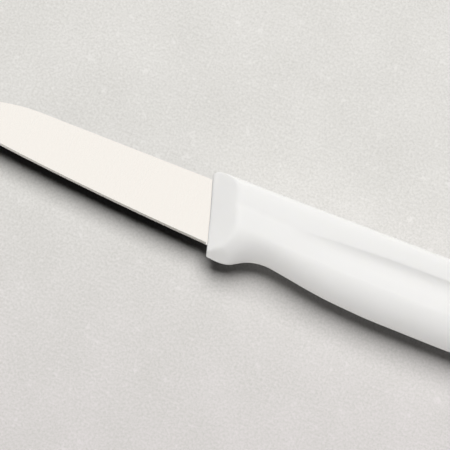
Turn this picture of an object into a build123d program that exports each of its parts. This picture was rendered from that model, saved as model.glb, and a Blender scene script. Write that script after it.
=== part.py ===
"""Paring knife lying on its side: a stamped, taper-ground blade with a hidden tang, and one moulded handle.

Millimetres. X runs from the point to the butt, Y from the cutting edge to the spine, Z is the thickness.
The origin is under the middle of the knife, on the surface that it lies on.
"""
import os
from math import cos, radians, sin, tan

from build123d import *

# Blade: heel to point, spine to edge at the heel, thickness at the spine and behind the sharpened edge, which
# stops a little short of the collar.
blade_length = 84.0
blade_depth = 17.6
blade_thickness = 1.3
ground_thickness = 0.4
edge_bevel_depth = 0.6
edge_land = 0.06
edge_stop = 0.4
nose_length = 28.0
point_drop = 10.0

# Pull points of the nose and edge curves, as shares of each curve's run and of its drop or rise.
nose_pull_shares = [(0.39, 0.0), (0.80, 0.34)]
edge_pull_shares = [(0.24, 0.125), (0.715, 0.49)]

# Tang: the blank steps in by the shoulder at both edges behind the collar, and the moulding fills its holes.
tang_length = 68.0
tang_shoulder = 3.3
tang_end_radius = 3.0
shoulder_depth = 4.0
shoulder_radius = 2.0
tang_hole_diameter = 5.0
tang_hole_shares = [0.26, 0.56, 0.86]

# Handle: it stands above the spine by the set-down and below the edge by the guard's drop.
handle_length = 108.0
handle_thickness = 14.0
blade_set_down = 3.0
guard_drop = 3.4
butt_radius = 4.0

# Collar: its front is raked and bevelled on both sides, down to a thin lip around the blade.
collar_rake = 15.6
collar_bevel_run = 6.7
collar_lip = 0.85
collar_corner_radius = 1.8
collar_ridge_radius = 2.4

# Cutters run past the body by the overrun and stand off its outermost line by the clearance. The taper grind
# ends in front of the collar by the same clearance.
cut_overrun = 6.0
outline_clearance = 0.03

# Handle stations, in even steps from the heel to the butt. There is a row where the shape turns. Between two
# rows the loft's slices lie in even proportion, with the turns eased over the easing steps. Underside, crest
# and crease are shares of the handle's depth, below and above its middle. Flank and scoop are shares of half
# its thickness. The fullness shares say how square the belly's and the spine's roundings are.
station_steps = 36
slices_per_step = 3
easing_steps = 0.75
station_shares = [
    # step, underside, crest, crease, flank, scoop, belly fullness, spine fullness
    (-4, 0.500, 0.200, 0.170, 0.970, 0.004, 0.60, 0.85),
    (2.5, 0.500, 0.170, 0.160, 0.970, 0.004, 0.62, 0.85),
    (3.8, 0.380, 0.110, 0.150, 0.955, 0.004, 0.60, 0.85),
    (5.6, 0.331, 0.080, 0.140, 0.950, 0.012, 0.56, 0.85),
    (8, 0.375, 0.105, 0.150, 0.970, 0.060, 0.56, 0.85),
    (10, 0.415, 0.120, 0.170, 0.980, 0.105, 0.56, 0.85),
    (12, 0.448, 0.132, 0.190, 0.990, 0.145, 0.56, 0.85),
    (16, 0.481, 0.145, 0.217, 1.000, 0.180, 0.56, 0.85),
    (22, 0.487, 0.145, 0.230, 1.000, 0.190, 0.56, 0.85),
    (28, 0.485, 0.145, 0.235, 1.000, 0.150, 0.56, 0.78),
    (32, 0.482, 0.145, 0.235, 0.980, 0.060, 0.56, 0.66),
    (36, 0.480, 0.145, 0.235, 0.930, 0.004, 0.56, 0.56),
]
scoop_wall_share = 0.30
scoop_rise_share = 0.45

# Places that follow from the sizes above.
handle_depth = blade_set_down + blade_depth + guard_drop
tang_depth = blade_depth - 2 * tang_shoulder
overall_length = blade_length + handle_length
heel_x = blade_length - overall_length / 2
nose_x = heel_x - blade_length
top_y = handle_depth / 2
spine_y = top_y - blade_set_down
edge_y = spine_y - blade_depth
point_y = spine_y - point_drop
edge_rise = point_y - edge_y
middle_z = handle_thickness / 2
half_blade = blade_thickness / 2
rake = radians(collar_rake)
front_foot_x = heel_x + edge_stop
middle_plane = Plane.XY.offset(middle_z)

# Blade blank: nose, cutting edge, shoulders and tang.
nose_start_x = nose_x + nose_length
shoulder_x = heel_x + shoulder_depth
tang_end_x = heel_x + tang_length
tang_middle_y = spine_y - blade_depth / 2
tang_top_y = tang_middle_y + tang_depth / 2
tang_foot_y = tang_middle_y - tang_depth / 2
nose_pulls = [
    (nose_start_x - nose_length * run, spine_y - point_drop * drop) for run, drop in nose_pull_shares
]
edge_pulls = [
    (heel_x - blade_length * run, edge_y + edge_rise * rise) for run, rise in edge_pull_shares
]

# Taper grind: each side is one plane, thin along the whole edge, so that the spine also thins to the point.
# It ends along the raked front of the collar.
grind_per_depth = (half_blade - ground_thickness / 2) / blade_depth
grind_per_length = (half_blade - ground_thickness / 2 - grind_per_depth * point_drop) / blade_length
grind_foot = edge_stop - outline_clearance
grind_cut_depth = blade_depth + cut_overrun
grind_cut_length = blade_length + cut_overrun

with BuildPart() as blade:
    with BuildSketch(middle_plane) as blank:
        with BuildLine():
            Bezier((nose_start_x, spine_y), *nose_pulls, (nose_x, point_y))
            Bezier((heel_x, edge_y), *edge_pulls, (nose_x, point_y))
            Polyline(
                (heel_x, edge_y),
                (shoulder_x, edge_y),
                (shoulder_x, tang_foot_y),
                (tang_end_x, tang_foot_y),
                (tang_end_x, tang_top_y),
                (shoulder_x, tang_top_y),
                (shoulder_x, spine_y),
                (nose_start_x, spine_y),
            )
        make_face()
        tang_corners = blank.vertices().group_by(Axis.X)[-1]
        fillet(tang_corners, radius=tang_end_radius)
        shoulder_corners = blank.vertices().group_by(Axis.X)[-3].sort_by(Axis.Y)[1:-1]
        fillet(shoulder_corners, radius=shoulder_radius)
        with Locations(*[(heel_x + tang_length * share, tang_middle_y) for share in tang_hole_shares]):
            Circle(tang_hole_diameter / 2, mode=Mode.SUBTRACT)
    extrude(amount=half_blade, both=True)

    for side in (1, -1):
        grind_plane = Plane(
            origin=(heel_x, spine_y, middle_z + side * half_blade),
            x_dir=(1, 0, side * grind_per_length),
            z_dir=(-grind_per_length, -grind_per_depth, side),
        )
        with BuildSketch(grind_plane):
            with BuildLine():
                Polyline(
                    (grind_foot + cut_overrun * tan(rake), -side * grind_cut_depth),
                    (grind_foot - grind_cut_depth * tan(rake), side * cut_overrun),
                    (-grind_cut_length, side * cut_overrun),
                    (-grind_cut_length, -side * grind_cut_depth),
                    close=True,
                )
            make_face()
        extrude(amount=blade_thickness, mode=Mode.SUBTRACT)

    # Sharpened edge: a narrow bevel on each side, carried from the heel along the edge down to a thin land.
    with BuildLine(middle_plane) as edge_line:
        Bezier((heel_x, edge_y), *edge_pulls, (nose_x, point_y))
    edge_plane = Plane(origin=edge_line.line @ 0, x_dir=(0, 0, 1), z_dir=(-1, 0, 0))
    with BuildSketch(edge_plane):
        with BuildLine():
            Polyline(
                (edge_land / 2, -edge_bevel_depth),
                (edge_land / 2, 0),
                (ground_thickness, 2 * edge_bevel_depth),
                (ground_thickness, -edge_bevel_depth),
                close=True,
            )
        make_face()
        mirror(about=Plane.YZ)
    sweep(path=edge_line.line, mode=Mode.SUBTRACT)
blade.part.label = "blade"


def straight_shares(step):
    """Shares at a step, in even proportion between the rows on either side of it."""
    step = min(max(step, station_shares[0][0]), station_shares[-1][0])
    for low, high in zip(station_shares, station_shares[1:]):
        if low[0] <= step <= high[0]:
            along = (step - low[0]) / (high[0] - low[0])
            return [before + (after - before) * along for before, after in zip(low[1:], high[1:])]


def shares_at(step):
    """Shares at a step with the turns eased: it counts as much as a little before and a little after it."""
    before = straight_shares(step - easing_steps)
    here = straight_shares(step)
    after = straight_shares(step + easing_steps)
    return [(low + 2 * middle + high) / 4 for low, middle, high in zip(before, here, after)]


def half_section(step):
    """Right half of a handle section: spine rounding, scooped flank and belly, each with its pull points."""
    underside, crest, crease, flank, scoop, belly_full, spine_full = shares_at(step)
    side_z = middle_z * flank
    scoop_drop = middle_z * scoop
    bottom_y = -handle_depth * underside
    crest_y = -handle_depth * crest
    crease_y = handle_depth * crease
    flank_run = crease_y - crest_y
    spine_curve = [
        (top_y, 0),
        (top_y, side_z * spine_full),
        (crease_y + (top_y - crease_y) * spine_full, side_z),
        (crease_y, side_z),
    ]
    flank_curve = [
        (crease_y, side_z),
        (crease_y - flank_run * scoop_wall_share, side_z - scoop_drop),
        (crest_y + flank_run * scoop_rise_share, side_z - scoop_drop * scoop_wall_share),
        (crest_y, side_z),
    ]
    belly_curve = [
        (crest_y, side_z),
        (crest_y + (bottom_y - crest_y) * belly_full, side_z),
        (bottom_y, side_z * belly_full),
        (bottom_y, 0),
    ]
    return [spine_curve, flank_curve, belly_curve]


# Collar: places of its raked front, and its bevel seen along the rake.
outline_y = top_y + outline_clearance
butt_x = heel_x + handle_length
collar_half = half_blade + collar_lip
collar_side = middle_z * station_shares[0][4] + outline_clearance
bevel_per_run = (collar_side - collar_half) / collar_bevel_run
bevel_end = collar_bevel_run + cut_overrun

with BuildPart() as handle:
    # Body: a loft through close slices, from in front of the collar to just past the butt.
    for number in range(station_shares[0][0] * slices_per_step, station_steps * slices_per_step + 2):
        step = number / slices_per_step
        section_x = heel_x + handle_length * step / station_steps
        section_plane = Plane(origin=(section_x, 0, middle_z), x_dir=(0, 1, 0), z_dir=(1, 0, 0))
        right_half = half_section(step)
        left_half = [[(y, -z) for y, z in reversed(curve)] for curve in reversed(right_half)]
        with BuildSketch(section_plane):
            with BuildLine():
                for curve in right_half + left_half:
                    Bezier(*curve)
            make_face()
    loft()

    # Outline from the side: the raked front and the butt, with their corners rounded.
    with BuildSketch(middle_plane) as side_outline:
        with BuildLine():
            Polyline(
                (front_foot_x - (outline_y - edge_y) * tan(rake), outline_y),
                (front_foot_x + (outline_y + edge_y) * tan(rake), -outline_y),
                (butt_x, -outline_y),
                (butt_x, outline_y),
                close=True,
            )
        make_face()
        fillet(side_outline.vertices().sort_by(Axis.X)[:2], radius=collar_corner_radius)
        fillet(side_outline.vertices().group_by(Axis.X)[-1], radius=butt_radius)
    extrude(amount=handle_thickness, both=True, mode=Mode.INTERSECT)

    # Outline from above: both flanks round in to the butt.
    with BuildSketch(Plane.XZ) as top_outline:
        with Locations((butt_x, middle_z)):
            Rectangle(overall_length, handle_thickness + 2 * outline_clearance, align=(Align.MAX, Align.CENTER))
        fillet(top_outline.vertices().group_by(Axis.X)[-1], radius=butt_radius)
    extrude(amount=handle_depth, both=True, mode=Mode.INTERSECT)

    # Front bevels, rising from the lip to the rounded ridge on both sides.
    bevel_plane = Plane(
        origin=(front_foot_x, edge_y, middle_z),
        x_dir=(cos(rake), sin(rake), 0),
        z_dir=(sin(rake), -cos(rake), 0),
    )
    with BuildSketch(bevel_plane) as bevel:
        with BuildLine():
            Polyline(
                (-edge_stop, collar_half - edge_stop * bevel_per_run),
                (collar_bevel_run, collar_side),
                (bevel_end, collar_side),
                (bevel_end, handle_thickness),
                (-edge_stop, handle_thickness),
                close=True,
            )
        make_face()
        fillet(bevel.vertices().group_by(Axis.Y)[1].sort_by(Axis.X)[0], radius=collar_ridge_radius)
        mirror(about=Plane.XZ)
    extrude(amount=2 * handle_depth, both=True, mode=Mode.SUBTRACT)

    # The moulding closes on the blade and fills the holes of its tang.
    add(blade.part, mode=Mode.SUBTRACT)
handle.part.label = "handle"

os.makedirs("parts", exist_ok=True)
export_step(blade.part, "parts/blade.step")
export_step(handle.part, "parts/handle.step")
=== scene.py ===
"""Looks of a paring knife lying on its side: a satin-ground steel blade in a moulded white plastic handle.

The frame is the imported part's own: X from the point to the butt, Y from the cutting edge to the spine, Z up
through the thickness. Blender's unit is the metre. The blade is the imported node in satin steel. The handle
is one new skin in moulded plastic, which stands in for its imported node. They lie on a stone top and are seen
from almost straight above, lit by one large soft lamp on the spine side and a low card on the edge side.
"""

import logging
from dataclasses import dataclass, field
from enum import Enum
from math import cos, radians, sin, tan
from typing import Any

import bpy
import numpy as np
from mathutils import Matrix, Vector


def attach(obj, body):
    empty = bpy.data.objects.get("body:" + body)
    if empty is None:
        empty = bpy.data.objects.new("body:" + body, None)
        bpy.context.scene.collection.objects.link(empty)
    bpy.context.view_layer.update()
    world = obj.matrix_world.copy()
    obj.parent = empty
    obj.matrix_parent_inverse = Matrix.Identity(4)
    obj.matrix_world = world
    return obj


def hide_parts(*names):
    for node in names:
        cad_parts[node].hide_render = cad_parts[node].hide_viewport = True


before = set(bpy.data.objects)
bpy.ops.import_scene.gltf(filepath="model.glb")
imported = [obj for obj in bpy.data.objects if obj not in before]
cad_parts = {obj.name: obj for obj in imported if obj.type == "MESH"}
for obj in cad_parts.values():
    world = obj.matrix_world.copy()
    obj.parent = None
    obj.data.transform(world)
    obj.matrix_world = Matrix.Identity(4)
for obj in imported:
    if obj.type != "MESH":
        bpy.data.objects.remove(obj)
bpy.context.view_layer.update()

MM = 0.001
WHITE = (1.0, 1.0, 1.0, 1.0)
# A noise texture keeps mostly within this distance of its middle.
NOISE_MIDDLE = 0.5
NOISE_SWING = 0.2
log = logging.getLogger("paring_knife")


class Slot(Enum):
    """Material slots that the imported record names."""

    STEEL = "blade_steel"
    PLASTIC = "handle_plastic"


def linear_colour(code: str) -> tuple[float, float, float, float]:
    """Converts a colour as the eye and a picture file see it to the linear light that a shader takes.

    The curve is the sRGB standard's: a straight foot for the darkest shades and a power above it.

    Args:
        code: six hexadecimal digits, two each for red, green and blue.

    Returns:
        Linear red, green, blue and full cover.
    """
    shades = [int(code[place:place + 2], 16) / 255 for place in (0, 2, 4)]
    light = [shade / 12.92 if shade <= 0.04045 else ((shade + 0.055) / 1.055) ** 2.4 for shade in shades]
    return light[0], light[1], light[2], 1.0


def add_node(tree: bpy.types.NodeTree, kind: str, settings: dict[str | int, Any] | None = None,
             links: dict[str | int, bpy.types.NodeSocket] | None = None) -> bpy.types.Node:
    """Adds one shader node, sets it up and wires its inputs.

    Args:
        tree: the node tree that gets the node.
        kind: Blender's name of the node type.
        settings: values by name, of a property of the node or else of an input socket, which may go by its
            number.
        links: output sockets by the name or number of the input that each one feeds.

    Returns:
        The new node.
    """
    node = tree.nodes.new(kind)
    for name, value in (settings or {}).items():
        if isinstance(name, str) and hasattr(node, name):
            setattr(node, name, value)
        else:
            node.inputs[name].default_value = value
    for name, source in (links or {}).items():
        tree.links.new(source, node.inputs[name])
    return node


def empty_material(name: str) -> bpy.types.Material:
    """Makes a node material with no nodes in it.

    Args:
        name: name of the material.

    Returns:
        The material, ready for its nodes.
    """
    material = bpy.data.materials.new(name)
    material.use_nodes = True
    material.node_tree.nodes.clear()
    return material


def mesh_object(name: str, points: np.ndarray, faces: np.ndarray, smooth: bool = True) -> bpy.types.Object:
    """Puts a numpy surface into a mesh and links it to the scene.

    Args:
        name: name of the piece.
        points: one row of x, y and z in metres for each vertex.
        faces: one row of four vertex numbers for each face, turning left seen from outside.
        smooth: whether the faces are shaded as one curved surface.

    Returns:
        The new object, with its place in its mesh.
    """
    mesh = bpy.data.meshes.new(name)
    mesh.vertices.add(len(points))
    mesh.vertices.foreach_set("co", points.astype(np.float32).ravel())
    mesh.loops.add(faces.size)
    mesh.loops.foreach_set("vertex_index", faces.astype(np.int32).ravel())
    mesh.polygons.add(len(faces))
    mesh.polygons.foreach_set("loop_start", np.arange(0, faces.size, faces.shape[1], dtype=np.int32))
    mesh.polygons.foreach_set("use_smooth", np.full(len(faces), smooth))
    mesh.update(calc_edges=True)
    mesh.validate()
    piece = bpy.data.objects.new(name, mesh)
    bpy.context.scene.collection.objects.link(piece)
    return piece


@dataclass(frozen=True)
class SatinSteel:
    """Martensitic stainless steel strip, taper-ground across its width and then polished to a fine satin.

    The grinding belt runs from the spine to the edge, so what is left of its marks are very fine lines that
    way. Real ones are a few hundredths of a millimetre wide and wouldn't show, so they are drawn wider. They
    give the eye an even, bright face whose gloss hardly changes.
    """

    name: str = "satin stainless steel"
    steel: str = "FBF6EF"
    roughness: float = 0.27
    roughness_swing: float = 0.006
    line_width: float = 0.12 * MM
    line_length: float = 30 * MM
    line_height: float = 0.00002 * MM
    line_detail: float = 3.0
    line_fineness: float = 0.55

    def material(self) -> bpy.types.Material:
        """Builds the steel: an even metal whose gloss and surface carry the grinding lines.

        Returns:
            The node material.
        """
        material = empty_material(self.name)
        tree = material.node_tree
        place = add_node(tree, "ShaderNodeTexCoord")
        stretch = add_node(
            tree, "ShaderNodeMapping",
            {"Scale": (1 / self.line_width, 1 / self.line_length, 1 / self.line_length)},
            {"Vector": place.outputs["Object"]},
        )
        lines = add_node(
            tree, "ShaderNodeTexNoise",
            {"Scale": 1.0, "Detail": self.line_detail, "Roughness": self.line_fineness},
            {"Vector": stretch.outputs["Vector"]},
        )
        gloss = add_node(
            tree, "ShaderNodeMapRange",
            {"From Min": NOISE_MIDDLE - NOISE_SWING, "From Max": NOISE_MIDDLE + NOISE_SWING,
             "To Min": self.roughness - self.roughness_swing,
             "To Max": self.roughness + self.roughness_swing},
            {"Value": lines.outputs["Fac"]},
        )
        relief = add_node(
            tree, "ShaderNodeBump",
            {"Strength": 1.0, "Distance": self.line_height},
            {"Height": lines.outputs["Fac"]},
        )
        metal = add_node(
            tree, "ShaderNodeBsdfPrincipled",
            {"Base Color": linear_colour(self.steel), "Metallic": 1.0},
            {"Roughness": gloss.outputs["Result"], "Normal": relief.outputs["Normal"]},
        )
        add_node(tree, "ShaderNodeOutputMaterial", None, {"Surface": metal.outputs["BSDF"]})
        return material


@dataclass(frozen=True)
class MouldedPlastic:
    """White polypropylene, injection moulded in a cavity with a light spark-eroded grain, so it is satin.

    The real grain is about a tenth of a millimetre wide and wouldn't show, so it is drawn coarser. Light goes
    a little way into the plastic and comes out again, which softens its shades.
    """

    name: str = "moulded white polypropylene"
    plastic: str = "F2F1EF"
    roughness: float = 0.46
    grain_size: float = 0.35 * MM
    grain_height: float = 0.006 * MM
    grain_detail: float = 2.0
    grain_fineness: float = 0.5
    ior: float = 1.49
    inner_share: float = 0.6
    depth_of_light: float = 0.7 * MM
    depth_shares: tuple[float, float, float] = (1.0, 1.0, 0.95)

    def material(self) -> bpy.types.Material:
        """Builds the plastic: an even colour, light that spreads inside, and a fine moulded grain.

        Returns:
            The node material.
        """
        material = empty_material(self.name)
        tree = material.node_tree
        place = add_node(tree, "ShaderNodeTexCoord")
        grain = add_node(
            tree, "ShaderNodeTexNoise",
            {"Scale": 1 / self.grain_size, "Detail": self.grain_detail, "Roughness": self.grain_fineness},
            {"Vector": place.outputs["Object"]},
        )
        relief = add_node(
            tree, "ShaderNodeBump",
            {"Strength": 1.0, "Distance": self.grain_height},
            {"Height": grain.outputs["Fac"]},
        )
        body = add_node(
            tree, "ShaderNodeBsdfPrincipled",
            {"Base Color": linear_colour(self.plastic), "Roughness": self.roughness, "IOR": self.ior,
             "Subsurface Weight": self.inner_share, "Subsurface Scale": self.depth_of_light,
             "Subsurface Radius": self.depth_shares},
            {"Normal": relief.outputs["Normal"]},
        )
        add_node(tree, "ShaderNodeOutputMaterial", None, {"Surface": body.outputs["BSDF"]})
        return material


@dataclass(frozen=True)
class StoneTop:
    """A pale grey table top of fine-grained stone, cut and honed, so it is dull and finely speckled.

    It has faint clouds and sparse chalky spots, and its tint drifts from plain to a little rosy toward the
    camera. The camera, the steel and the plastic see it pale. Light that went on from there meets a dark
    grey instead of the stone: painted shade, which keeps the shadow under the blade deep.
    """

    name: str = "honed pale stone"
    pale: str = "F4F2EE"
    rosy: str = "F4EDEE"
    dark: str = "DDDBD6"
    painted_bounce_shade: str = "262626"
    speckle_size: float = 0.7 * MM
    speckle_detail: float = 3.0
    speckle_fineness: float = 0.7
    cloud_size: float = 22 * MM
    cloud_detail: float = 4.0
    cloud_fineness: float = 0.6
    cloud_share: float = 0.3
    chalk_size: float = 3.2 * MM
    chalk_detail: float = 2.0
    chalk_fineness: float = 0.5
    chalk_share: float = 0.55
    chalk_from: float = 0.64
    chalk_full: float = 0.78
    tint_way: tuple[float, float, float] = (-0.373, 0.928, 0.0)
    rosy_until: float = -75 * MM
    plain_from: float = 15 * MM

    def material(self) -> bpy.types.Material:
        """Builds the stone: two close greys mixed by the speckle, the clouds and the chalky spots.

        The paler grey runs from rosy to plain along the tint's way, and spent light gets painted shade, a dark
        grey.

        Returns:
            The node material.
        """
        material = empty_material(self.name)
        tree = material.node_tree
        place = add_node(tree, "ShaderNodeTexCoord")
        speckle = add_node(
            tree, "ShaderNodeTexNoise",
            {"Scale": 1 / self.speckle_size, "Detail": self.speckle_detail,
             "Roughness": self.speckle_fineness},
            {"Vector": place.outputs["Object"]},
        )
        clouds = add_node(
            tree, "ShaderNodeTexNoise",
            {"Scale": 1 / self.cloud_size, "Detail": self.cloud_detail, "Roughness": self.cloud_fineness},
            {"Vector": place.outputs["Object"]},
        )
        both = add_node(
            tree, "ShaderNodeMath", {"operation": "MULTIPLY_ADD", 1: self.cloud_share},
            {0: clouds.outputs["Fac"], 2: speckle.outputs["Fac"]},
        )
        middle = NOISE_MIDDLE + NOISE_MIDDLE * self.cloud_share
        shade = add_node(
            tree, "ShaderNodeMapRange",
            {"From Min": middle - NOISE_SWING, "From Max": middle + NOISE_SWING,
             "To Min": 0.0, "To Max": 1.0},
            {"Value": both.outputs[0]},
        )
        chalk = add_node(
            tree, "ShaderNodeTexNoise",
            {"Scale": 1 / self.chalk_size, "Detail": self.chalk_detail, "Roughness": self.chalk_fineness},
            {"Vector": place.outputs["Object"]},
        )
        spots = add_node(
            tree, "ShaderNodeMapRange",
            {"From Min": self.chalk_from, "From Max": self.chalk_full,
             "To Min": 0.0, "To Max": self.chalk_share},
            {"Value": chalk.outputs["Fac"]},
        )
        paleness = add_node(
            tree, "ShaderNodeMath", {"operation": "ADD", "use_clamp": True},
            {0: shade.outputs["Result"], 1: spots.outputs["Result"]},
        )
        along = add_node(
            tree, "ShaderNodeVectorMath", {"operation": "DOT_PRODUCT", 1: self.tint_way},
            {0: place.outputs["Object"]},
        )
        plain = add_node(
            tree, "ShaderNodeMapRange",
            {"From Min": self.rosy_until, "From Max": self.plain_from,
             "To Min": 0.0, "To Max": 1.0},
            {"Value": along.outputs["Value"]},
        )
        light_grey = add_node(
            tree, "ShaderNodeMix",
            {"data_type": "RGBA", 6: linear_colour(self.rosy), 7: linear_colour(self.pale)},
            {"Factor": plain.outputs["Result"]},
        )
        colour = add_node(
            tree, "ShaderNodeMix",
            {"data_type": "RGBA", 6: linear_colour(self.dark)},
            {"Factor": paleness.outputs[0], 7: light_grey.outputs[2]},
        )
        stone = add_node(tree, "ShaderNodeBsdfDiffuse", None, {"Color": colour.outputs[2]})
        # painted shade: light that has already left the stone once meets this dark grey instead of the pale
        # stone, which keeps the shadow under the blade deep
        dull = add_node(tree, "ShaderNodeBsdfDiffuse", {"Color": linear_colour(self.painted_bounce_shade)})
        ray = add_node(tree, "ShaderNodeLightPath")
        spent = add_node(
            tree, "ShaderNodeMath", {"operation": "SUBTRACT", "use_clamp": True},
            {0: ray.outputs["Diffuse Depth"], 1: ray.outputs["Is Diffuse Ray"]},
        )
        whole = add_node(
            tree, "ShaderNodeMixShader", None,
            {0: spent.outputs[0], 1: stone.outputs[0], 2: dull.outputs[0]},
        )
        add_node(tree, "ShaderNodeOutputMaterial", None, {"Surface": whole.outputs[0]})
        return material


def bezier(points: tuple[np.ndarray, ...], along: np.ndarray) -> np.ndarray:
    """Works out a cubic with two ends and two pull points: the Bernstein sum of the four.

    Args:
        points: start, first pull, second pull and end, each a number or a grid.
        along: share of the way from start to end.

    Returns:
        The sum at each share.
    """
    start, first, second, end = points
    back = 1 - along
    near_start = back ** 3 * start + 3 * back ** 2 * along * first
    return near_start + 3 * back * along ** 2 * second + along ** 3 * end


def soft_least(one: np.ndarray, other: np.ndarray, reach: np.ndarray) -> np.ndarray:
    """Smaller of two heights, with a parabola that blends them where they are within reach of each other."""
    share = np.clip(0.5 + 0.5 * (other - one) / reach, 0, 1)
    return other + (one - other) * share - reach * share * (1 - share)


def quarter_round(distance: np.ndarray, radius: float | np.ndarray) -> np.ndarray:
    """How far a quarter circle of that radius draws an edge in, at a distance from the end face."""
    short = np.clip(radius - distance, 0, radius)
    return radius - np.sqrt(radius ** 2 - short ** 2)


@dataclass
class MouldedHandle:
    """The handle: bevelled raked collar, guard, finger neck, scooped flanks and rounded butt, as one skin.

    The lengths are in millimetres in the part's frame and are turned into metres when the mesh is made. The
    stations stand in even steps from the heel to the butt, with a row where the shape turns. Underside, crest
    and crease are shares of the handle's depth below and above its middle. Flank and scoop are shares of half
    its thickness. The belly's, the rim's and the spine's say how square their roundings are.
    """

    node: str = "handle"
    heel_x: float = -12.0
    edge_stop: float = 0.4
    edge_y: float = -8.6
    handle_length: float = 108.0
    handle_depth: float = 24.0
    handle_thickness: float = 14.0
    blade_half: float = 0.65
    collar_rake: float = 15.6
    collar_bevel_run: float = 7.8
    collar_lip: float = 0.85
    lip_radius: float = 0.40
    corner_radius: float = 1.8
    ridge_reach: float = 0.75
    guard_corner_radius: float = 0.8
    guard_height: float = 3.85
    guard_slope: float = 1.26
    guard_rise: float = 0.15
    guard_reach: float = 0.7
    strip_fall: float = 0.35
    spine_fall: float = 0.5
    butt_radius: float = 4.0
    station_steps: int = 18
    flank_column: int = 4
    smoothing: float = 1.6
    bell_reach: float = 4.0
    bell_samples: int = 8
    bell_least: float = 0.001
    wall_share: float = 0.30
    rise_share: float = 0.45
    rake_hold: float = 9.0
    rake_fade: float = 22.0
    curve_samples: tuple[int, int, int] = (26, 44, 30)
    # Distance behind the foot of the collar, and rows of the grid for each millimetre there.
    row_density: tuple[tuple[float, float], ...] = (
        (0.0, 14.0), (0.5, 6.0), (8.0, 4.0), (25.0, 2.0), (98.0, 1.4), (103.0, 4.0), (108.0, 10.0),
    )
    density_samples: int = 4000
    lean_rounds: int = 12
    least_reach: float = 0.01
    # Step, underside, crest, crease, flank, scoop, belly, rim and spine of each station.
    station_shares: tuple[tuple[float, ...], ...] = (
        (-2.0, 0.500, 0.045, 0.170, 0.970, 0.004, 0.50, 0.22, 0.91),
        (1.36, 0.500, 0.045, 0.160, 0.970, 0.004, 0.50, 0.22, 0.91),
        (1.9, 0.380, 0.065, 0.150, 0.955, 0.004, 0.47, 0.24, 0.91),
        (2.8, 0.331, 0.073, 0.140, 0.950, 0.012, 0.44, 0.32, 0.91),
        (4, 0.375, 0.105, 0.150, 0.970, 0.080, 0.45, 0.42, 0.91),
        (5, 0.415, 0.120, 0.160, 0.980, 0.170, 0.46, 0.46, 0.91),
        (6, 0.448, 0.132, 0.180, 0.990, 0.245, 0.46, 0.46, 0.91),
        (8, 0.481, 0.145, 0.207, 1.000, 0.335, 0.46, 0.46, 0.91),
        (11, 0.487, 0.145, 0.220, 1.000, 0.355, 0.46, 0.46, 0.91),
        (14, 0.485, 0.145, 0.225, 1.000, 0.270, 0.48, 0.48, 0.82),
        (16, 0.482, 0.145, 0.235, 0.980, 0.090, 0.52, 0.52, 0.68),
        (18, 0.480, 0.145, 0.235, 0.930, 0.004, 0.56, 0.56, 0.56),
    )
    finish: MouldedPlastic = field(default_factory=MouldedPlastic)

    def foot_x(self) -> float:
        """Place of the foot of the collar's raked front, at the height of the edge."""
        return self.heel_x + self.edge_stop

    def shares_at(self, x: np.ndarray) -> np.ndarray:
        """Shares of the stations at any place along the handle.

        Between two rows a share runs straight, and then each place takes the mean of its neighbours under a
        bell curve, so that the turns are rounded.

        Args:
            x: places in millimetres.

        Returns:
            An array of the eight shares by the shape of x.
        """
        table = np.array(self.station_shares)
        pitch = self.handle_length / self.station_steps
        reach = self.bell_reach * self.smoothing
        places = self.heel_x + table[:, 0] * pitch
        fine = np.arange(places[0] - reach, places[-1] + reach, self.smoothing / self.bell_samples)
        bell = np.exp(-0.5 * ((fine - fine.mean()) / self.smoothing) ** 2)
        bell = bell[bell > self.bell_least] / bell[bell > self.bell_least].sum()
        spare = len(bell) // 2
        smooth = []
        for column in table[:, 1:].T:
            padded = np.pad(np.interp(fine, places, column), spare, mode="edge")
            smooth.append(np.convolve(padded, bell, mode="same")[spare:-spare])
        return np.array([np.interp(x, fine, column) for column in smooth])

    def half_section(self, x: np.ndarray, curve: np.ndarray,
                     along: np.ndarray) -> tuple[np.ndarray, np.ndarray]:
        """Works out the upper half of the section, from the spine round the flank to the belly.

        Three cubics meet in turn: the spine's rounding, which falls a little to the crease, the scooped
        flank and the belly. The flank's two pull points lie in the hollow, one by its wall and one by its
        rise. The spine line sinks to the collar by the square of the share of the way there.

        Args:
            x: grid of places along the handle, rows by samples round the half.
            curve: number of the cubic that each sample round the half lies on.
            along: share of that cubic at each sample.

        Returns:
            Grids of y and of z from the middle plane.
        """
        underside, crest, crease, flank, scoop, belly_full, rim_full, spine_full = self.shares_at(x)
        way = np.clip(1 - (x - self.heel_x) / self.handle_length, 0, 1)
        top_y = self.handle_depth / 2 - self.spine_fall * way ** 2
        side_z = self.handle_thickness / 2 * flank
        drop = self.handle_thickness / 2 * scoop
        crease_z = side_z - self.strip_fall
        bottom_y = -self.handle_depth * underside
        crest_y = -self.handle_depth * crest
        crease_y = self.handle_depth * crease
        run = crease_y - crest_y
        flat = np.zeros_like(x)
        ys = [
            (flat + top_y, flat + top_y, crease_y + (top_y - crease_y) * spine_full, crease_y),
            (crease_y, crease_y - run * self.wall_share, crest_y + run * self.rise_share, crest_y),
            (crest_y, crest_y + (bottom_y - crest_y) * belly_full, bottom_y, bottom_y),
        ]
        zs = [
            (flat, side_z * spine_full, side_z, crease_z),
            (crease_z, side_z - drop, side_z - drop * self.wall_share, side_z),
            (side_z, side_z, side_z * rim_full, flat),
        ]
        on_curve = [curve == number for number in range(len(ys))]
        y = np.select(on_curve, [bezier(points, along) for points in ys])
        z = np.select(on_curve, [bezier(points, along) for points in zs])
        return y, z

    def samples_round(self) -> tuple[np.ndarray, np.ndarray]:
        """Places the samples round the half section, from the spine to the belly.

        Returns:
            Number of the cubic that each sample lies on, and its share of the way along that cubic.
        """
        counts = self.curve_samples
        curve = np.concatenate([np.full(count, number) for number, count in enumerate(counts)])
        along = np.concatenate([np.linspace(0, 1, count, endpoint=False) for count in counts])
        return np.append(curve, len(counts) - 1), np.append(along, 1.0)

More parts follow.
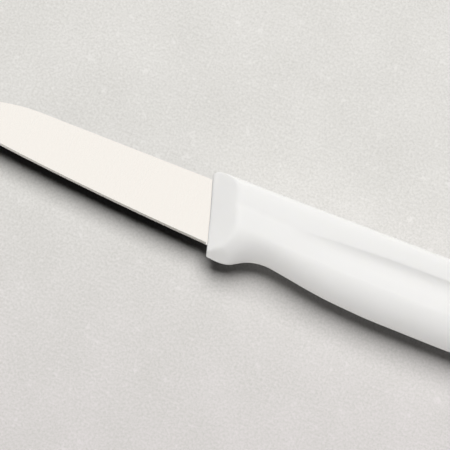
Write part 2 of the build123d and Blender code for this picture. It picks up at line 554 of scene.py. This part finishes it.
    def slice_places(self) -> np.ndarray:
        """Places the slices along the handle, closer together where its shape turns.

        The number of slices up to a place is the sum of the density before it.

        Returns:
            Distances behind the foot of the collar, in millimetres.
        """
        places, density = np.array(self.row_density).T
        fine = np.linspace(0, self.handle_length - self.edge_stop, self.density_samples)
        rows = np.cumsum(np.interp(fine, places, density)) * (fine[1] - fine[0])
        rows -= rows[0]
        return np.interp(np.linspace(0, rows[-1], int(rows[-1])), rows, fine)

    def leaning_halves(self) -> tuple[np.ndarray, np.ndarray, np.ndarray]:
        """Lays the half sections on slices that lean with the raked front and stand upright further back.

        The x of a point is its slice's place less the faded rake times its height above the edge. The height
        depends on x in turn, so both are worked out again for a few rounds.

        Returns:
            Grids of x, y and z from the middle plane, slices by samples round the half.
        """
        curve, along = self.samples_round()
        slices = self.slice_places()
        fade = np.clip((slices - self.rake_hold) / self.rake_fade, 0, 1)
        lean = ((1 - fade * fade * (3 - 2 * fade)) * tan(radians(self.collar_rake)))[:, None]
        x = np.broadcast_to((self.foot_x() + slices)[:, None], (len(slices), len(along))).copy()
        for _ in range(self.lean_rounds):
            y, z = self.half_section(x, curve, along)
            x = self.foot_x() + slices[:, None] - lean * (y - self.edge_y)
        return x, y, z

    def cut_front(self, x: np.ndarray, y: np.ndarray, z: np.ndarray) -> tuple[np.ndarray, np.ndarray]:
        """Cuts the collar's bevel and the guard's facet, and rounds the front corners and the lip.

        The half thickness is the soft least of the section's and of the two facets. The bevel rises evenly
        behind the raked front. The guard's facet slopes evenly up from the belly and a little backwards.
        Quarter circles round the front corners and the lip.

        Args:
            x: grid of places along the handle.
            y: grid of heights from the middle.
            z: grid of half thicknesses.

        Returns:
            Grids of y and of z from the middle plane.
        """
        rake = radians(self.collar_rake)
        behind = np.maximum(((x - self.foot_x()) + (y - self.edge_y) * tan(rake)) * cos(rake), 0)
        top = self.handle_thickness / 2 * self.station_shares[0][self.flank_column]
        collar_half = self.blade_half + self.collar_lip
        slope = (top - collar_half) / self.collar_bevel_run
        bevel = collar_half + slope * behind - quarter_round(behind, self.lip_radius)

        corner = np.where(y < 0, self.guard_corner_radius, self.corner_radius)
        y = y * (1 - quarter_round(behind, corner) / (self.handle_depth / 2))
        guard = self.guard_height + self.guard_slope * (y - self.edge_y) + self.guard_rise * behind
        for facet, widest in ((bevel, self.ridge_reach), (guard, self.guard_reach)):
            reach = np.clip(2 * np.minimum(z, facet), self.least_reach, widest)
            z = np.maximum(soft_least(z, facet, reach), 0)
        z[:, 0] = 0
        z[:, -1] = 0
        return y, z

    def surface(self) -> tuple[np.ndarray, np.ndarray]:
        """Works out the whole skin: the upper half, rounded at the butt, with its mirror image below.

        At the butt a quarter circle draws in the height and the half thickness.

        Returns:
            Points in metres and the four corners of each face.
        """
        x, y, z = self.leaning_halves()
        y, z = self.cut_front(x, y, z)
        draw_in = quarter_round(self.heel_x + self.handle_length - x, self.butt_radius)
        y = y * (1 - draw_in / (self.handle_depth / 2))
        z = z * (1 - draw_in / (self.handle_thickness / 2))

        ring_x = np.hstack([x, x[:, -2:0:-1]])
        ring_y = np.hstack([y, y[:, -2:0:-1]])
        ring_z = np.hstack([z, -z[:, -2:0:-1]]) + self.handle_thickness / 2
        points = np.stack([ring_x, ring_y, ring_z], axis=-1).reshape(-1, 3) * MM
        return points, self.skin_faces(*ring_x.shape)

    def skin_faces(self, rows: int, around: int) -> np.ndarray:
        """Joins each ring to the next and closes both end faces with strips across the thickness.

        Args:
            rows: number of rings.
            around: number of points on each ring.

        Returns:
            The four corners of each face, turning left seen from outside.
        """
        row, place = np.meshgrid(np.arange(rows - 1), np.arange(around), indexing="ij")
        after = (place + 1) % around
        here, ahead = row * around, (row + 1) * around
        skin = np.stack([here + place, here + after, ahead + after, ahead + place], axis=-1).reshape(-1, 4)
        half = np.arange(around // 2)
        front = np.stack([(around - half) % around, around - half - 1, half + 1, half], axis=-1)
        butt = front[:, ::-1] + (rows - 1) * around
        return np.concatenate([skin, front, butt])

    def build(self) -> bpy.types.Object:
        """Makes the handle's skin, dresses it and lets it stand in for the CAD node.

        Returns:
            The skin.
        """
        points, faces = self.surface()
        piece = mesh_object("handle_skin", points, faces)
        piece.data.materials.append(self.finish.material())
        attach(piece, "root")
        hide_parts(self.node)
        log.info("%s: %d faces in moulded plastic", piece.name, len(faces))
        return piece


@dataclass
class GroundBlade:
    """The blade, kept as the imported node, with its flat taper grind and sharpened edge."""

    node: str = "blade"
    finish: SatinSteel = field(default_factory=SatinSteel)

    def build(self) -> bpy.types.Object:
        """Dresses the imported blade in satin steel.

        Returns:
            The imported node.
        """
        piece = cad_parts[self.node]
        piece.data.materials.clear()
        piece.data.materials.append(self.finish.material())
        log.info("%s: packed node in satin steel, slot %s", piece.name, Slot.STEEL.value)
        return piece


@dataclass
class Studio:
    """Stone top, a big soft lamp on the spine side, a low card across from it, a pale room and the camera.

    The numbers of the flag are cosines. Its middle, core and half say how far a mirrored way points away from
    the camera, and its foot and the place where it is full say how far it points up.
    """

    floor_size: float = 4.0
    camera_azimuth: float = 21.9
    camera_elevation: float = 77.0
    camera_distance: float = 0.9
    picture_width: float = 123.8 * MM
    sensor_width: float = 36.0
    picture_pixels: int = 450
    heel_pixel: tuple[float, float] = (217.1, 216.1)
    heel_point: tuple[float, float, float] = (-12 * MM, 0.0, 7 * MM)
    lamp_turn: float = 8.0
    lamp_elevation: float = 63.3
    lamp_distance: float = 1.6
    lamp_size: float = 1.25
    lamp_power: float = 29.9
    card_turn: float = 172.0
    card_elevation: float = 16.0
    card_distance: float = 0.9
    card_size: float = 0.7
    card_power: float = 3.6
    ambient: float = 0.01
    room: str = "DAD8D4"
    flag: str = "2E261F"
    flag_middle: float = -0.37
    flag_core_half: float = 0.085
    flag_half: float = 0.17
    flag_foot: float = 0.68
    flag_full: float = 0.8
    finish: StoneTop = field(default_factory=StoneTop)

    def across(self) -> Vector:
        """Level direction to the right of the picture."""
        turn = radians(self.camera_azimuth)
        return Vector((cos(turn), sin(turn), 0))

    def away(self) -> Vector:
        """Level direction away from the camera, up the picture."""
        turn = radians(self.camera_azimuth)
        return Vector((-sin(turn), cos(turn), 0))

    def set_floor(self) -> None:
        """Lays the stone top, one flat square, under the knife."""
        half = self.floor_size / 2
        corners = np.array([(-half, -half, 0), (half, -half, 0), (half, half, 0), (-half, half, 0)])
        floor = mesh_object("stone_top", corners, np.array([[0, 1, 2, 3]]), smooth=False)
        floor.data.materials.append(self.finish.material())
        log.info("stone top laid")

    def hang_lamp(self, name: str, turn: float, elevation: float, distance: float, size: float,
                  power: float) -> bpy.types.Object:
        """Hangs a square soft lamp that is aimed at the heel and that the steel doesn't mirror.

        Args:
            name: name of the lamp.
            turn: degrees from the part's +Y, counted to the left seen from above.
            elevation: degrees above the floor.
            distance: metres from the heel.
            size: side of the lamp in metres.
            power: watts.

        Returns:
            The lamp.
        """
        light = bpy.data.lights.new(name, "AREA")
        light.shape = "SQUARE"
        light.size = size
        light.energy = power
        lamp = bpy.data.objects.new(name, light)
        side, rise = radians(turn), radians(elevation)
        heel = Vector(self.heel_point)
        lamp.location = heel + Vector((-sin(side) * cos(rise), cos(side) * cos(rise), sin(rise))) * distance
        lamp.rotation_euler = (heel - lamp.location).to_track_quat("-Z", "Y").to_euler()
        lamp.visible_glossy = False
        bpy.context.scene.collection.objects.link(lamp)
        log.info("%s hung", name)
        return lamp

    def set_lamps(self, knife: list[bpy.types.Object]) -> None:
        """Hangs the big lamp beyond the spine and a white card that lifts only the knife's near side.

        Args:
            knife: the pieces that the card lights.
        """
        self.hang_lamp("spine_side_softbox", self.lamp_turn, self.lamp_elevation, self.lamp_distance,
                       self.lamp_size, self.lamp_power)
        card = self.hang_lamp("edge_side_card", self.card_turn, self.card_elevation, self.card_distance,
                              self.card_size, self.card_power)
        lifted = bpy.data.collections.new("lifted_by_card")
        for piece in knife:
            lifted.objects.link(piece)
        card.light_linking.receiver_collection = lifted

    def set_room(self) -> None:
        """Gives the room its light: pale to the camera, white with one flag to the steel, dim for the rest.

        What the steel mirrors is white all round, but for one dark brown flag that hangs high on the side of
        the cutting edge. The sharpened bevel mirrors it and shows as a thin dark line. The plastic mirrors it
        faintly too.
        """
        world = bpy.data.worlds.new("room")
        bpy.context.scene.world = world
        world.use_nodes = True
        tree = world.node_tree
        tree.nodes.clear()
        ray = add_node(tree, "ShaderNodeLightPath")
        look = add_node(tree, "ShaderNodeTexCoord")
        side = add_node(
            tree, "ShaderNodeVectorMath", {"operation": "DOT_PRODUCT", 1: tuple(self.away())},
            {0: look.outputs["Generated"]},
        )
        beside = add_node(
            tree, "ShaderNodeMath", {"operation": "SUBTRACT", 1: self.flag_middle},
            {0: side.outputs["Value"]},
        )
        apart = add_node(tree, "ShaderNodeMath", {"operation": "ABSOLUTE"}, {0: beside.outputs[0]})
        beyond = add_node(
            tree, "ShaderNodeMapRange",
            {"From Min": self.flag_core_half, "From Max": self.flag_half, "To Min": 0.0, "To Max": 1.0},
            {"Value": apart.outputs[0]},
        )
        upward = add_node(
            tree, "ShaderNodeVectorMath", {"operation": "DOT_PRODUCT", 1: (0.0, 0.0, 1.0)},
            {0: look.outputs["Generated"]},
        )
        below = add_node(
            tree, "ShaderNodeMapRange",
            {"From Min": self.flag_foot, "From Max": self.flag_full, "To Min": 1.0, "To Max": 0.0},
            {"Value": upward.outputs["Value"]},
        )
        clear = add_node(
            tree, "ShaderNodeMath", {"operation": "MAXIMUM"},
            {0: beyond.outputs["Result"], 1: below.outputs["Result"]},
        )
        tone = add_node(
            tree, "ShaderNodeMix",
            {"data_type": "RGBA", 6: linear_colour(self.flag), 7: WHITE},
            {"Factor": clear.outputs[0]},
        )
        dim = add_node(tree, "ShaderNodeBackground", {"Color": WHITE, "Strength": self.ambient})
        mirrored = add_node(tree, "ShaderNodeBackground", {"Strength": 1.0}, {"Color": tone.outputs[2]})
        seen = add_node(
            tree, "ShaderNodeBackground", {"Color": linear_colour(self.room), "Strength": 1.0},
        )
        in_mirror = add_node(
            tree, "ShaderNodeMath", {"operation": "SUBTRACT", "use_clamp": True},
            {0: ray.outputs["Is Glossy Ray"], 1: ray.outputs["Diffuse Depth"]},
        )
        with_gloss = add_node(
            tree, "ShaderNodeMixShader", None,
            {0: in_mirror.outputs[0], 1: dim.outputs[0], 2: mirrored.outputs[0]},
        )
        whole = add_node(
            tree, "ShaderNodeMixShader", None,
            {0: ray.outputs["Is Camera Ray"], 1: with_gloss.outputs[0], 2: seen.outputs[0]},
        )
        add_node(tree, "ShaderNodeOutputWorld", None, {"Surface": whole.outputs[0]})
        log.info("room set")

    def set_camera(self) -> None:
        """Points the camera so that the middle of the heel lands on its pixel of the picture."""
        scale = self.picture_width / self.picture_pixels
        middle = self.picture_pixels / 2
        rise = radians(self.camera_elevation)
        right_by = (middle - self.heel_pixel[0]) * scale
        up_by = (self.heel_pixel[1] - middle) * scale / sin(rise)
        target = Vector(self.heel_point) + self.across() * right_by + self.away() * up_by
        view = bpy.data.cameras.new("camera")
        view.sensor_width = self.sensor_width
        view.lens = self.sensor_width * self.camera_distance / self.picture_width
        camera = bpy.data.objects.new("camera", view)
        toward_camera = Vector((0, 0, sin(rise))) - self.away() * cos(rise)
        camera.location = target + toward_camera * self.camera_distance
        camera.rotation_euler = (target - camera.location).to_track_quat("-Z", "Y").to_euler()
        bpy.context.scene.collection.objects.link(camera)
        bpy.context.scene.camera = camera
        log.info("camera set")

    def build(self, knife: list[bpy.types.Object]) -> None:
        """Sets the whole stage round the pieces of the knife, and the plain view transform.

        Args:
            knife: the dressed pieces.
        """
        self.set_floor()
        self.set_lamps(knife)
        self.set_room()
        self.set_camera()
        bpy.context.scene.view_settings.view_transform = "Standard"


def main() -> None:
    """Builds the pieces in order, then the stage."""
    logging.basicConfig(level=logging.INFO)
    knife = [GroundBlade().build(), MouldedHandle().build()]
    Studio().build(knife)


if __name__ == "__main__":
    main()
